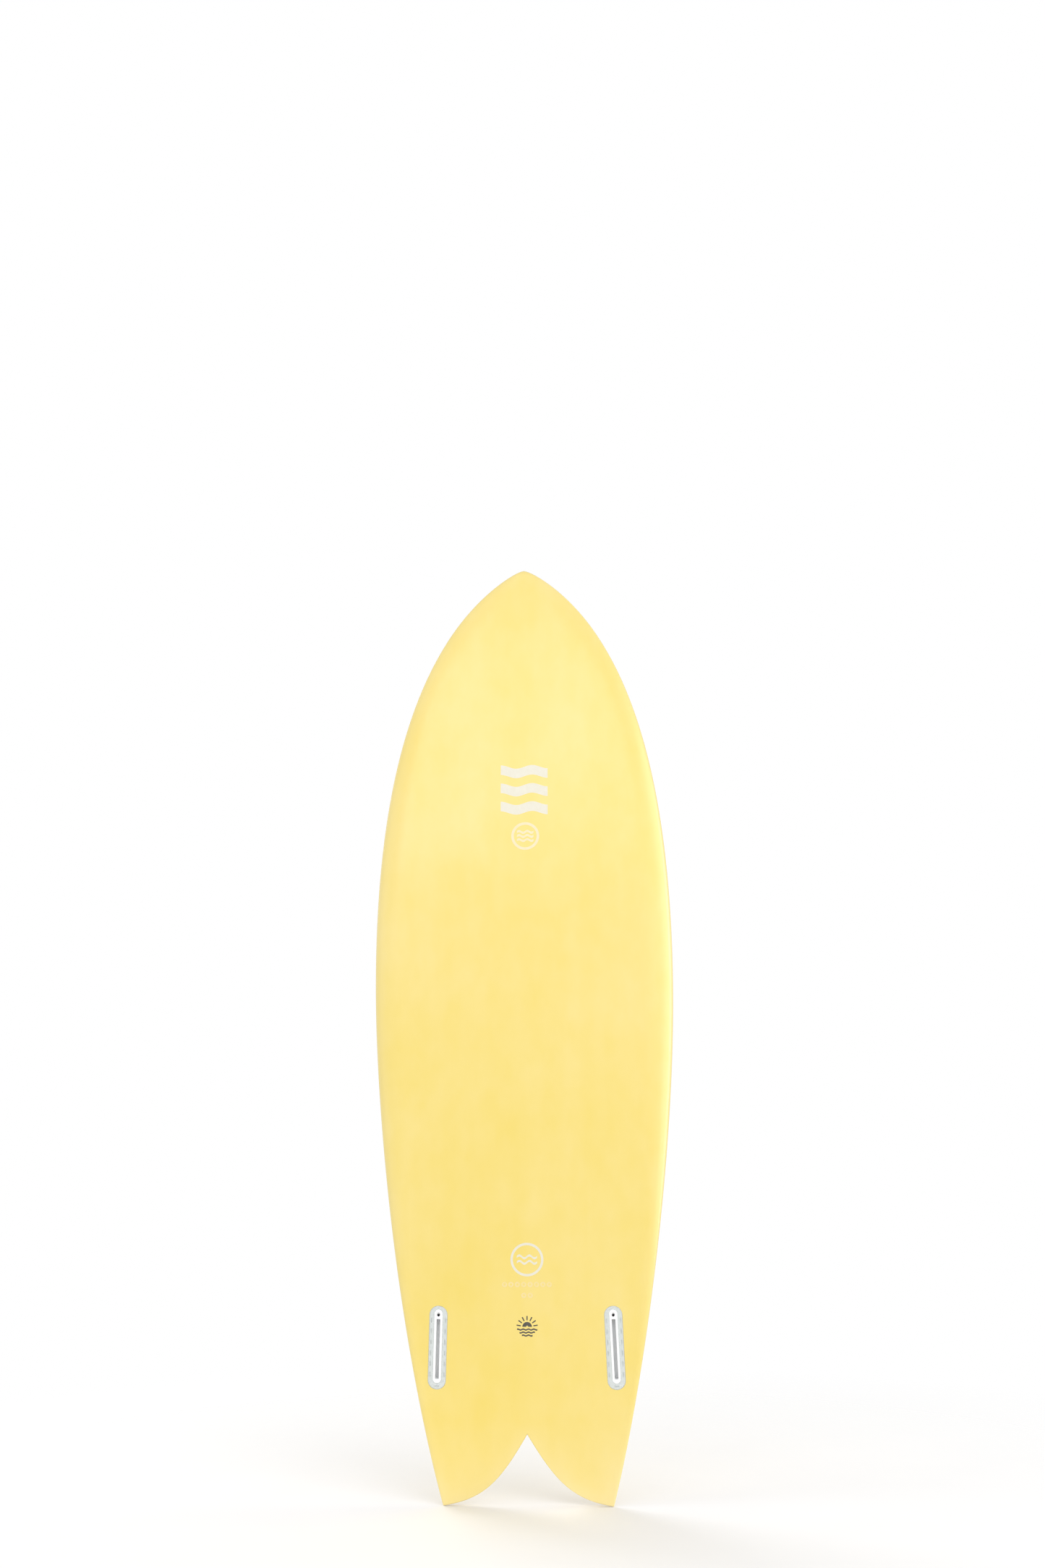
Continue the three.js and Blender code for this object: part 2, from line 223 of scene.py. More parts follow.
def rail(along):
    share = np.clip((along - TAIL_RAIL["end"]) / (BODY_RAIL["start"] - TAIL_RAIL["end"]), 0, 1)
    blend = share * share * (3 - 2 * share)
    apex_share = TAIL_RAIL["apex_share"] * (1 - blend) + BODY_RAIL["apex_share"] * blend
    tuck = TAIL_RAIL["tuck"] * (1 - blend) + BODY_RAIL["tuck"] * blend
    return apex_share, tuck


def levels(along):
    """Heights in the part's frame of the bottom, the rail's widest line and the deck."""
    apex_share, _ = rail(along)
    from_tip = np.clip((LENGTH - along) / TIP_ROUNDING, 0, 1)
    full = thickness(along)
    rounded = full * np.sqrt(1 - (1 - from_tip) ** 2)
    apex = rocker(along) + apex_share * full - DECK_TOP
    return apex - apex_share * rounded, apex, apex + (1 - apex_share) * rounded


def bottom_height(across, along):
    low, apex, _ = levels(along)
    width = np.maximum(half_width(along), AXIS_RADIUS)
    tuck = np.minimum(rail(along)[1], WIDEST_TUCK_SHARE * width)
    into_tuck = np.clip((np.abs(across) - width + tuck) / tuck, 0, 1)
    return apex - (apex - low) * np.sqrt(1 - into_tuck ** 2)


def deck_height(across, along):
    _, apex, high = levels(along)
    share = np.clip(np.abs(across) / np.maximum(half_width(along), AXIS_RADIUS), 0, 1)
    return apex + (high - apex) * np.sqrt(1 - share ** DECK_FULLNESS)


def notch_table(steps=400):
    """Points at even distances along the edge of a tail lobe, from its tip to the crotch."""
    points = bezier(NOTCH_EDGE, np.linspace(0, 1, steps))
    run = np.concatenate([[0], np.cumsum(np.linalg.norm(np.diff(points, axis=0), axis=1))])
    even = np.linspace(0, run[-1], steps)
    return np.stack([np.interp(even, run, points[:, axis]) for axis in (0, 1)], axis=1)


NOTCH_TABLE = notch_table()


def distance_to_line(points, line):
    """Shortest distance from each point to a line of straight pieces."""
    best = np.full(len(points), np.inf)
    for start, end in zip(line[:-1], line[1:]):
        run = end - start
        share = np.clip((points - start) @ run / (run @ run), 0, 1)
        gap = np.linalg.norm(points - start - share[:, None] * run, axis=1)
        best = np.minimum(best, gap)
    return best


def plan_rows():
    """Rows of one half of the board: each runs from the notch or the middle line out to the rail."""
    share = (1 - np.cos(np.linspace(0, math.pi, NOTCH_ROWS))) / 2
    steps = np.arange(len(NOTCH_TABLE)) / (len(NOTCH_TABLE) - 1)
    inner = [np.stack([np.interp(share, steps, NOTCH_TABLE[:, axis]) for axis in (0, 1)], axis=1)]
    outer_along = [share * NOTCH_DEPTH]

    crotch_steps = np.arange(1, CROTCH_ROWS + 1) ** CROTCH_ROW_POWER
    after_notch = NOTCH_DEPTH + CROTCH_ROW_SPACING * crotch_steps
    nose_start = LENGTH - NOSE_STRETCH
    count = round((nose_start - after_notch[-1]) / BODY_ROW_SPACING)
    body = np.linspace(after_notch[-1], nose_start, count)[1:]
    nose = LENGTH - NOSE_STRETCH * (np.arange(NOSE_ROWS - 1, -1, -1) / NOSE_ROWS) ** 2
    straight = np.concatenate([after_notch, body, nose])
    inner.append(np.stack([np.zeros_like(straight), straight], axis=1))
    outer_along.append(straight)

    inner = np.concatenate(inner)
    outer_along = np.concatenate(outer_along)
    return inner, np.stack([half_width(outer_along), outer_along], axis=1)


def plan_grid():
    """Places of one half's points as an array of rows, columns and (across, along)."""
    inner, outer = plan_rows()
    width = np.linalg.norm(outer - inner, axis=1)
    edge = NOTCH_ROUNDING["deck"] + np.clip(inner[:, 1] - NOTCH_DEPTH, 0, EDGE_SPREAD)
    edge = np.minimum(edge, WIDEST_EDGE_SHARE * width)
    tuck = np.minimum(rail(outer[:, 1])[1], WIDEST_RAIL_SHARE * width)
    edge_angle = np.linspace(0, math.pi / 2, EDGE_COLUMNS)
    rail_angle = np.linspace(math.pi / 2, 0, RAIL_COLUMNS)
    shares = []
    for i in range(len(inner)):
        near = edge[i] * (1 - np.cos(edge_angle))
        far = width[i] - tuck[i] * (1 - np.cos(rail_angle))
        middle = np.linspace(near[-1], far[0], FLAT_COLUMNS + 2)[1:-1]
        shares.append(np.concatenate([near, middle, far]) / max(width[i], TINY))
    shares = np.array(shares)[..., None]
    return inner[:, None] * (1 - shares) + outer[:, None] * shares


def notch_distance(grid):
    """Distance of each place to the cut edge of the tail, or just a large number far from it."""
    line = np.concatenate([[OUTLINE_TABLE[0]], NOTCH_TABLE])
    flat = grid.reshape(-1, 2)
    near = flat[:, 1] < NOTCH_DEPTH + 2 * NOTCH_ROUNDING["deck"]
    distance = np.ones(len(flat))
    distance[near] = distance_to_line(flat[near], line)
    return distance.reshape(grid.shape[:2])


def rounded_off(distance, radius):
    """How far a surface has dropped at some distance from an edge that is rounded to radius."""
    inside = np.clip(1 - distance / np.maximum(radius, TINY), 0, 1)
    return radius * (1 - np.sqrt(1 - inside ** 2))


def skin_sheets():
    """The bottom and the deck of one half as grids of points, with the walls down to the widest line."""
    grid = plan_grid()
    across, along = grid[..., 0], grid[..., 1]
    _, apex, _ = levels(along)
    distance = notch_distance(grid)
    under = apex - bottom_height(across, along)
    over = deck_height(across, along) - apex
    under[:, -1] = 0
    over[:, -1] = 0
    under_rounding = np.minimum(NOTCH_ROUNDING["bottom"], DEEPEST_ROUNDING_SHARE * under)
    over_rounding = np.minimum(NOTCH_ROUNDING["deck"], DEEPEST_ROUNDING_SHARE * over)
    under = under - rounded_off(distance, under_rounding)
    over = over - rounded_off(distance, over_rounding)
    bottom = np.stack([across, apex - under, along], axis=-1)
    deck = np.stack([across, apex + over, along], axis=-1)
    seam = np.stack([across, apex, along], axis=-1)
    return bottom, deck, seam


# ---- meshes ----

def grid_faces(rows, columns, first=0):
    faces = []
    for i in range(rows - 1):
        for j in range(columns - 1):
            a = first + i * columns + j
            faces.append((a, a + 1, a + 1 + columns, a + columns))
    return faces


def mesh_object(name, points, faces):
    mesh = bpy.data.meshes.new(name)
    mesh.from_pydata([tuple(point) for point in points], [], faces)
    made = bpy.data.objects.new(name, mesh)
    bpy.context.scene.collection.objects.link(made)
    return made


def edit(piece, change):
    """Runs change on the piece's mesh as a bmesh."""
    bm = bmesh.new()
    bm.from_mesh(piece.data)
    change(bm)
    bm.to_mesh(piece.data)
    bm.free()


def merge_close(bm, distance=MERGE_DISTANCE):
    bmesh.ops.remove_doubles(bm, verts=bm.verts, dist=distance)
    bmesh.ops.dissolve_degenerate(bm, edges=bm.edges, dist=distance)


def turn_outward(bm):
    bmesh.ops.recalc_face_normals(bm, faces=bm.faces)


def apply_modifiers(piece):
    """Replaces the piece's mesh by what its modifiers make of it."""
    evaluated = piece.evaluated_get(bpy.context.evaluated_depsgraph_get())
    mesh = bpy.data.meshes.new_from_object(evaluated)
    piece.modifiers.clear()
    piece.data = mesh
    mesh.name = piece.name


def combine(piece, other, operation="DIFFERENCE"):
    """Cuts other from the piece, or joins it to the piece, and removes other."""
    modifier = piece.modifiers.new("combine", "BOOLEAN")
    modifier.object = other
    modifier.operation = operation
    modifier.solver = "EXACT"
    apply_modifiers(piece)
    bpy.data.objects.remove(other)


def smooth(piece, angle=35):
    piece.data.shade_smooth()
    piece.data.set_sharp_from_angle(angle=math.radians(angle))


def loft(name, rings):
    """A closed solid through rings of points that all have the same number of points."""
    count = len(rings[0])
    faces = [tuple(reversed(range(count)))]
    for level in range(len(rings) - 1):
        for i in range(count):
            a = level * count + i
            b = level * count + (i + 1) % count
            faces.append((a, b, b + count, a + count))
    faces.append(tuple((len(rings) - 1) * count + i for i in range(count)))
    made = mesh_object(name, [point for ring in rings for point in ring], faces)
    edit(made, turn_outward)
    return made


def obround_ring(size, height, grown=0.0):
    """A ring of points round a slot along Z, with round ends or with the size's own corners."""
    half_length = size["length"] / 2 + grown
    half_width = size["width"] / 2 + grown
    radius = min(size.get("corner", size["width"] / 2) + grown, half_width)
    centre = size.get("centre", 0.0)
    offset = size.get("offset", 0.0)
    ring = []
    for quadrant in range(4):
        turn = math.pi / 2 * quadrant
        side = 1 if quadrant in (0, 3) else -1
        end = 1 if quadrant < 2 else -1
        for step in range(ROUND_STEPS // 4 + 1):
            angle = turn + math.pi / 2 * step / (ROUND_STEPS // 4)
            across = offset + side * (half_width - radius) + radius * math.cos(angle)
            along = centre + end * (half_length - radius) + radius * math.sin(angle)
            ring.append((across, height, along))
    return ring


def circle_ring(radius, height):
    angles = [2 * math.pi * step / ROUND_STEPS for step in range(ROUND_STEPS)]
    return [(radius * math.cos(angle), height, radius * math.sin(angle)) for angle in angles]


def quarter(radius, steps=5):
    """Points of a quarter circle as (how far in, how far down), from the face to the side."""
    angles = [math.pi / 2 * step / steps for step in range(steps + 1)]
    return [(radius * (1 - math.sin(angle)), radius * (1 - math.cos(angle))) for angle in angles]


def obround_plate(name, size, top, base, rounding=0.0):
    """A plate with round ends whose upper edge is rounded."""
    edge = quarter(rounding) if rounding else [(0, 0)]
    rings = [obround_ring(size, top + drop, -inset) for inset, drop in edge]
    return loft(name, rings + [obround_ring(size, base)])


def obround_cutter(name, size, base, lip=0.0):
    """A cutter for an opening with round ends, whose upper edge comes out rounded."""
    rings = [obround_ring(size, -OVERCUT, lip)]
    rings += [obround_ring(size, drop, inset) for inset, drop in (quarter(lip) if lip else [])]
    return loft(name, rings + [obround_ring(size, base)])


def widened(size, by):
    return {**size, "length": size["length"] + 2 * by, "width": size["width"] + 2 * by}


def cylinder(name, radius, start, end):
    return loft(name, [circle_ring(radius, start), circle_ring(radius, end)])


def turned(name, profile):
    """A closed solid turned round Y from (radius, height) points that start and end on the axis."""
    rings = [circle_ring(max(radius, AXIS_RADIUS), height) for radius, height in profile]
    made = loft(name, rings)
    edit(made, lambda bm: merge_close(bm, 4 * AXIS_RADIUS))
    edit(made, turn_outward)
    return made


# ---- materials ----

NOISE_SPREAD = (0.3, 0.7)
WHOLE = (0, 1)
WEAVE_PERIOD = 1.7 * MM
WEAVE_RELIEF = 0.006 * MM


class Graph:
    """A material's nodes, with short ways to add textures to its shader."""

    def __init__(self, name, **shader_values):
        self.material = bpy.data.materials.new(name)
        self.material.use_nodes = True
        self.nodes = self.material.node_tree.nodes
        self.shader = self.nodes["Principled BSDF"]
        self.place = self.add("ShaderNodeTexCoord").outputs["Object"]
        for socket, value in shader_values.items():
            self.shader.inputs[socket.replace("_", " ")].default_value = value

    def add(self, kind, **settings):
        node = self.nodes.new(kind)
        for setting, value in settings.items():
            setattr(node, setting, value)
        return node

    def link(self, output, socket):
        self.material.node_tree.links.new(output, socket)

    def stretched(self, stretch):
        mapping = self.add("ShaderNodeMapping")
        mapping.inputs["Scale"].default_value = stretch
        self.link(self.place, mapping.inputs["Vector"])
        return mapping.outputs["Vector"]

    def noise(self, scale, detail=3.0, stretch=(1, 1, 1)):
        texture = self.add("ShaderNodeTexNoise")
        texture.inputs["Scale"].default_value = scale
        texture.inputs["Detail"].default_value = detail
        self.link(self.stretched(stretch), texture.inputs["Vector"])
        return texture.outputs["Fac"]

    def bands(self, period, direction, distortion=0.0):
        texture = self.add("ShaderNodeTexWave", bands_direction=direction)
        texture.inputs["Scale"].default_value = math.pi / 10 / period
        texture.inputs["Distortion"].default_value = distortion
        self.link(self.place, texture.inputs["Vector"])
        return texture.outputs["Fac"]

    def mapped(self, value, to, over=NOISE_SPREAD):
        """The value, turned from the range that it goes over into another."""
        node = self.add("ShaderNodeMapRange")
        node.inputs["From Min"].default_value = over[0]
        node.inputs["From Max"].default_value = over[1]
        node.inputs["To Min"].default_value = to[0]
        node.inputs["To Max"].default_value = to[1]
        self.link(value, node.inputs["Value"])
        return node.outputs["Result"]

    def maths(self, operation, first, second=None):
        node = self.add("ShaderNodeMath", operation=operation)
        self.link(first, node.inputs[0])
        if second is not None:
            self.link(second, node.inputs[1])
        return node.outputs["Value"]

    def mixed(self, factor, first, second):
        """Blend of two colours or colour sockets."""
        node = self.add("ShaderNodeMix", data_type="RGBA")
        self.link(factor, node.inputs["Factor"])
        for socket, colour in (("A", first), ("B", second)):
            target = [entry for entry in node.inputs if entry.name == socket and entry.type == "RGBA"][0]
            if isinstance(colour, tuple):
                target.default_value = (*colour, 1)
            else:
                self.link(colour, target)
        return [entry for entry in node.outputs if entry.type == "RGBA"][0]

    def colour(self, output):
        self.link(output, self.shader.inputs["Base Color"])

    def roughness(self, output):
        self.link(output, self.shader.inputs["Roughness"])

    def bumps(self, *layers):
        """Each layer is a texture and the height of its relief."""
        normal = None
        for value, height in layers:
            node = self.add("ShaderNodeBump")
            node.inputs["Strength"].default_value = 1.0
            node.inputs["Distance"].default_value = height
            self.link(value, node.inputs["Height"])
            if normal:
                self.link(normal, node.inputs["Normal"])
            normal = node.outputs["Normal"]
        self.link(normal, self.shader.inputs["Normal"])


def scaled(colour, factor):
    return tuple(channel * factor for channel in colour)


RESIN_YELLOW = (0.790, 0.608, 0.112)
# Paler end of the pigment, for its random paler tone and worn edges and for the painted sheen
RESIN_PALE_AND_SHEEN = (0.845, 0.700, 0.315)
LAP_YELLOW = (0.78, 0.57, 0.12)
LAP_STRENGTH = 0.75
LAP_BLUR = 0.4 * MM
PALEST = 1.2
# Height over which painted sheen pales the tail tips, standing for light thrown up from the floor
TIP_PAINTED_SHEEN_HEIGHT = 160 * MM


def paleness_and_painted_sheen(graph, edge):
    """How much the pigment pales from place to place, from 0 to about 1.

    It has soft clouds, strokes along the board and a fine mottle, and it pales along the edges, where the
    sanding goes deepest. It also holds painted light: painted sheen makes it paler towards the nose, for
    the brighter light from above, and at the two tips, for light thrown up from the floor.
    """
    place = graph.add("ShaderNodeSeparateXYZ")
    graph.link(graph.place, place.inputs["Vector"])
    along = place.outputs["Z"]
    clouds = graph.noise(6.0)
    strokes = graph.noise(9.0, stretch=(1.0, 1.0, 0.1))
    mottle = graph.noise(30.0, stretch=(1.0, 1.0, 0.6))
    layers = [
        graph.mapped(clouds, to=(0, 0.20), over=(0.35, 0.68)),
        graph.mapped(strokes, to=(0, 0.24), over=(0.35, 0.70)),
        graph.mapped(mottle, to=(0, 0.13), over=(0.35, 0.68)),
        # painted light: paler towards the nose, for the brighter light from above
        graph.mapped(along, to=(0, 0.22), over=(0.25, 1.2)),
        # painted sheen at the two tail tips, for light thrown up from the floor
        graph.mapped(along, to=(0.55, 0), over=(0, TIP_PAINTED_SHEEN_HEIGHT)),
        graph.mapped(edge, to=(0.20, 0), over=(0, EDGE_WEAR)),
    ]
    total = layers[0]
    for layer in layers[1:]:
        total = graph.maths("ADD", total, layer)
    return total


def tinted_resin(name, with_lap):
    """Pigmented polyester resin over glass cloth, sanded to a satin shine."""
    graph = Graph(name, Coat_Weight=1.0, Coat_Roughness=0.24, IOR=1.5)
    edge = graph.add("ShaderNodeAttribute", attribute_name="rail_distance").outputs["Fac"]
    # The mix towards the paler colour holds random tone and worn edges, and painted sheen towards the nose
    # and tips
    pale = graph.mapped(paleness_and_painted_sheen(graph, edge), to=WHOLE, over=(0, PALEST))
    body = graph.mixed(pale, RESIN_YELLOW, RESIN_PALE_AND_SHEEN)
    if with_lap:
        lap_end = (LAP_WIDTH - LAP_BLUR, LAP_WIDTH + LAP_BLUR)
        in_lap = graph.mapped(edge, to=(LAP_STRENGTH, 0), over=lap_end)
        body = graph.mixed(in_lap, body, LAP_YELLOW)
    graph.colour(body)
    sanding = graph.noise(60.0, 5.0, stretch=(1.0, 1.0, 0.25))
    graph.roughness(graph.mapped(sanding, to=(0.36, 0.48)))
    graph.bumps(
        (graph.bands(WEAVE_PERIOD, "X", 0.6), WEAVE_RELIEF),
        (graph.bands(WEAVE_PERIOD, "Z", 0.6), WEAVE_RELIEF),
        (graph.noise(9.0, 2.0), 0.35 * MM),
        (graph.noise(420.0, 2.0), 0.010 * MM),
    )
    return graph.material


def moulded_plastic(name, colour):
    """Slightly grained white plastic."""
    graph = Graph(name, Coat_Weight=0.1, Coat_Roughness=0.3)
    patchy = graph.mapped(graph.noise(160.0), to=WHOLE)
    graph.colour(graph.mixed(patchy, scaled(colour, 0.95), colour))
    graph.roughness(graph.mapped(graph.noise(700.0), to=(0.38, 0.52)))
    graph.bumps((graph.noise(2600.0, 2.0), 0.02 * MM), (graph.noise(240.0, 2.0), 0.03 * MM))
    return graph.material


def clear_glass_resin(name, colour, alpha):
    """Clear resin with a layer of glass cloth in it, milky where the weave shows."""
    graph = Graph(name, Coat_Weight=0.3, Coat_Roughness=0.15, IOR=1.5)
    shaded = scaled(colour, 0.93)
    warp = graph.mapped(graph.bands(WEAVE_PERIOD, "X", 1.0), to=WHOLE, over=WHOLE)
    weft = graph.mapped(graph.bands(WEAVE_PERIOD, "Z", 1.0), to=(0, 0.4), over=WHOLE)
    graph.colour(graph.mixed(weft, graph.mixed(warp, shaded, colour), shaded))
    graph.roughness(graph.mapped(graph.noise(90.0, 4.0), to=(0.26, 0.4)))
    milkiness = graph.mapped(graph.noise(60.0, 2.0), to=(alpha - 0.04, alpha + 0.04))
    graph.link(milkiness, graph.shader.inputs["Alpha"])
    graph.bumps((graph.noise(300.0), 0.03 * MM))
    return graph.material


def stainless_steel(name, colour):
    """Steel with fine marks from its machining."""
    graph = Graph(name, Metallic=1.0)
    marks = graph.noise(900.0, 4.0, stretch=(1.0, 0.1, 1.0))
    graph.colour(graph.mixed(graph.mapped(marks, to=WHOLE), scaled(colour, 0.85), colour))
    graph.roughness(graph.mapped(marks, to=(0.22, 0.4)))
    graph.bumps((marks, 0.01 * MM))
    return graph.material


def blank_foam(name):
    """Off-white foam with fine cells."""
    graph = Graph(name)
    cells = graph.add("ShaderNodeTexVoronoi")
    cells.inputs["Scale"].default_value = 1400.0
    graph.link(graph.place, cells.inputs["Vector"])
    shade = graph.mapped(graph.noise(40.0, 4.0), to=WHOLE)
    graph.colour(graph.mixed(shade, (0.86, 0.84, 0.77), (0.93, 0.92, 0.87)))
    graph.roughness(graph.mapped(graph.noise(500.0, 2.0), to=(0.8, 0.95)))
    graph.bumps((cells.outputs["Distance"], 0.12 * MM))
    return graph.material


def stringer_wood(name):
    """Pale wood whose grain runs along the board."""
    graph = Graph(name)
    grain = graph.noise(60.0, 5.0, stretch=(8.0, 8.0, 0.25))
    graph.colour(graph.mixed(graph.mapped(grain, to=WHOLE), (0.44, 0.28, 0.15), (0.66, 0.48, 0.30)))
    graph.roughness(graph.mapped(grain, to=(0.55, 0.75)))
    graph.bumps((grain, 0.1 * MM))
    return graph.material


def print_ink(name, colour, worn):
    """Print on thin paper under the clear coat, a little uneven."""
    graph = Graph(name, Coat_Weight=0.25, Coat_Roughness=0.22)
    patchy = graph.mapped(graph.noise(130.0, 4.0), to=WHOLE)
    graph.colour(graph.mixed(patchy, colour, worn))
    graph.roughness(graph.mapped(graph.noise(260.0), to=(0.36, 0.48)))
    graph.bumps((graph.bands(WEAVE_PERIOD, "X", 0.6), WEAVE_RELIEF))
    return graph.material


def finish_piece(piece, material, body, slot, *nodes):
    """Gives a piece its material and the body it rides on, and hides the nodes it stands for; slot is not
    used.
    """
    piece.data.materials.clear()
    piece.data.materials.append(material)
    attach(piece, body)
    if nodes:
        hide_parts(*nodes)


# ---- the skins ----

def skin_half(sheet, seam):
    """Points and faces of one half of a skin: the sheet and, round the tail, its wall down to the seam."""
    rows, columns = sheet.shape[:2]
    points = list(sheet.reshape(-1, 3))
    faces = grid_faces(rows, columns)
    notch = (sheet[:NOTCH_ROWS, 0], seam[:NOTCH_ROWS, 0])
    tail_tip = (sheet[0], seam[0])
    for top, base in (notch, tail_tip):
        faces += grid_faces(2, len(top), len(points))
        points += list(top) + list(base)
    return points, faces


def both_halves(points, faces):
    count = len(points)
    mirrored = [(-x, y, z) for x, y, z in points]
    flipped = [tuple(count + i for i in reversed(face)) for face in faces]
    return points + mirrored, faces + flipped


def turn_towards(bm, direction):
    """Turns all faces so that most of the surface points in the given direction."""
    turn_outward(bm)
    flow = sum((face.normal * face.calc_area() for face in bm.faces), Vector())
    if flow.dot(direction) < 0:
        bmesh.ops.reverse_faces(bm, faces=bm.faces)


def add_rail_distance(piece):
    """Stores how far each point is from the board's outline, for the glass's lap and the worn edges."""
    outline = OUTLINE_TABLE[::OUTLINE_STRIDE]
    notch = NOTCH_TABLE[::NOTCH_STRIDE]
    places = np.array([(abs(v.co.x), v.co.z) for v in piece.data.vertices])
    distance = distance_to_line(places, outline)
    tail = places[:, 1] < NOTCH_DEPTH + LAP_WIDTH + 1 * MM
    distance[tail] = np.minimum(distance[tail], distance_to_line(places[tail], notch))
    attribute = piece.data.attributes.new("rail_distance", "FLOAT", "POINT")
    attribute.data.foreach_set("value", distance.astype(np.float32))


def make_skin(name, sheet, seam, direction):
    points, faces = both_halves(*skin_half(sheet, seam))
    skin = mesh_object(name, points, faces)
    edit(skin, merge_close)
    edit(skin, lambda bm: turn_towards(bm, direction))
    solidify = skin.modifiers.new("thickness", "SOLIDIFY")
    solidify.thickness = LAMINATE
    solidify.offset = -1
    apply_modifiers(skin)
    return skin


# ---- fin boxes ----

def fin_box_matrix(side):
    step = 1 * MM
    slope = (rocker(BOX_FROM_TAIL + step) - rocker(BOX_FROM_TAIL - step)) / (2 * step)
    place = Matrix.Translation((side * BOX_FROM_CENTRE, rocker(BOX_FROM_TAIL) - DECK_TOP, BOX_FROM_TAIL))
    return place @ Matrix.Rotation(-math.atan(slope), 4, "X") @ Matrix.Rotation(-side * BOX_TOE_IN, 4, "Y")


def slice_across(bm):
    """Cuts the faces across at even distances along Z, so that they can bend smoothly."""
    for along in np.arange(-PATCH["length"] / 2, PATCH["length"] / 2, BEND_SPACING):
        parts = bm.verts[:] + bm.edges[:] + bm.faces[:]
        bmesh.ops.bisect_plane(bm, geom=parts, plane_co=(0, 0, along), plane_no=(0, 0, 1))


def seat_on_bottom(piece, matrix):
    """Puts a piece of the fin box in its place, bent so that its face follows the bottom."""
    edit(piece, slice_across)
    origin, normal = matrix.translation, matrix.col[1].to_3d()
    for vertex in piece.data.vertices:
        world = matrix @ vertex.co
        plane = origin.y - (normal.x * (world.x - origin.x) + normal.z * (world.z - origin.z)) / normal.y
        depth = (world - origin).dot(normal) / normal.y
        on_plane = world - Vector((0, depth, 0))
        surface = float(bottom_height(on_plane.x, on_plane.z))
        vertex.co = world + Vector((0, surface - plane, 0))


def cut_flange_holes(box):
    """Cuts the holes that let resin through the flange: a row on each side, and one across the tail end."""
    for i in range(FLANGE_HOLES_ALONG):
        centre = (i - (FLANGE_HOLES_ALONG - 1) / 2) * FLANGE_HOLE_SPACING
        for side in (-1, 1):
            size = {**FLANGE_HOLE, "centre": centre, "offset": side * FLANGE_HOLES_FROM_CENTRE}
            combine(box, obround_cutter("hole", size, 2 * FLANGE["base"]))
    end_hole = obround_cutter("hole", FLANGE_HOLE, 2 * FLANGE["base"])
    end_hole.data.transform(Matrix.Rotation(math.pi / 2, 4, "Y"))
    end_hole.data.transform(Matrix.Translation((0, 0, -END_HOLE_FROM_CENTRE)))
    combine(box, end_hole)


def screw_matrix():
    return Matrix.Translation((0, 0, SCREW_FROM_BOX_CENTRE)) @ Matrix.Rotation(-SCREW_SLANT, 4, "X")


def make_fin_box(name):
    box = obround_plate(name, FLANGE, FLANGE["top"], FLANGE["base"])
    cut_flange_holes(box)
    body_top = FLANGE["top"] + BODY_BELOW_FLANGE_TOP
    combine(box, obround_plate("body", BOX_BODY, body_top, BOX_BODY["base"]), "UNION")
    combine(box, obround_plate("plateau", PLATEAU, 0, PLATEAU["base"], EDGE_ROUNDING), "UNION")
    combine(box, obround_cutter("slot", FIN_SLOT, FIN_SLOT["base"], EDGE_ROUNDING))
    bore = cylinder("bore", SCREW_BORE_RADIUS, -OVERCUT, SCREW_BORE_LENGTH)
    bore.data.transform(screw_matrix())
    combine(box, bore)
    return box


def make_patch(name):
    patch = obround_plate(name, PATCH, 0, FLANGE["top"] - PATCH_GAP)
    combine(patch, obround_cutter("window", widened(PLATEAU, PATCH_GAP), 2 * FLANGE["top"]))
    return patch


def thread_rings():
    """Rings of points down a screw whose thread runs out, and whose radius shrinks, at both ends."""
    rows = round(SCREW_LENGTH / THREAD_PITCH * ROWS_PER_PITCH)
    rings = []
    for row in range(rows + 1):
        height = SCREW_SUNK + SCREW_LENGTH * row / rows
        pitches_from_end = min(row, rows - row) / ROWS_PER_PITCH
        chamfer = 2 * SCREW_CHAMFER * max(0.5 - pitches_from_end, 0)
        ring = []
        for step in range(SCREW_SIDES):
            angle = 2 * math.pi * step / SCREW_SIDES
            phase = (row / ROWS_PER_PITCH + step / SCREW_SIDES) % 1
            cut = THREAD_DEPTH * (1 - abs(2 * phase - 1)) * min(pitches_from_end, 1)
            radius = SCREW_RADIUS - cut - chamfer
            ring.append((radius * math.cos(angle), height, radius * math.sin(angle)))
        rings.append(ring)
    return rings


def make_screw(name):
    """A grub screw with a hexagon socket."""
    rings = thread_rings()
    face = [(SCREW_FACE_SHARE * x, y, SCREW_FACE_SHARE * z) for x, y, z in rings[0]]
    screw = loft(name, [face] + rings)
    angles = [2 * math.pi * corner / HEX_SIDES for corner in range(HEX_SIDES)]
    key = [
        [(HEX_KEY_RADIUS * math.cos(angle), height, HEX_KEY_RADIUS * math.sin(angle)) for angle in angles]
        for height in (0, SCREW_SUNK + HEX_KEY_DEPTH)
    ]
    combine(screw, loft("key", key))
    screw.data.transform(screw_matrix())
    return screw


def add_fin_box(label, side, skin):
    matrix = fin_box_matrix(side)
    opening = obround_cutter("opening", widened(PATCH, SKIN_GAP), OVERCUT)
    seat_on_bottom(opening, matrix)
    combine(skin, opening)

    box = make_fin_box(f"fin_box_{label}_moulding")
    seat_on_bottom(box, matrix)
    smooth(box)
    finish_piece(box, BOX_PLASTIC, "board", "box_plastic", f"fin_box_{label}")

    patch = make_patch(f"fin_box_{label}_glass_patch")
    seat_on_bottom(patch, matrix)
    smooth(patch)
    finish_piece(patch, PATCH_RESIN, "board", "clear_resin", f"fin_box_patch_{label}")

    screw = make_screw(f"fin_screw_{label}_threaded")
    screw.data.transform(matrix)
    smooth(screw, angle=25)
    finish_piece(screw, SCREW_STEEL_IN_PAINTED_SHADE, f"{label}_screw", "stainless", f"fin_screw_{label}")


# ---- leash plug ----

def along_x(piece):
    """Turns a piece made along Y to lie across the cup, where its pin is."""
    turn = Matrix.Rotation(math.pi / 2, 4, "Z")
    piece.data.transform(Matrix.Translation((0, -PIN["below"], 0)) @ turn)
    return piece


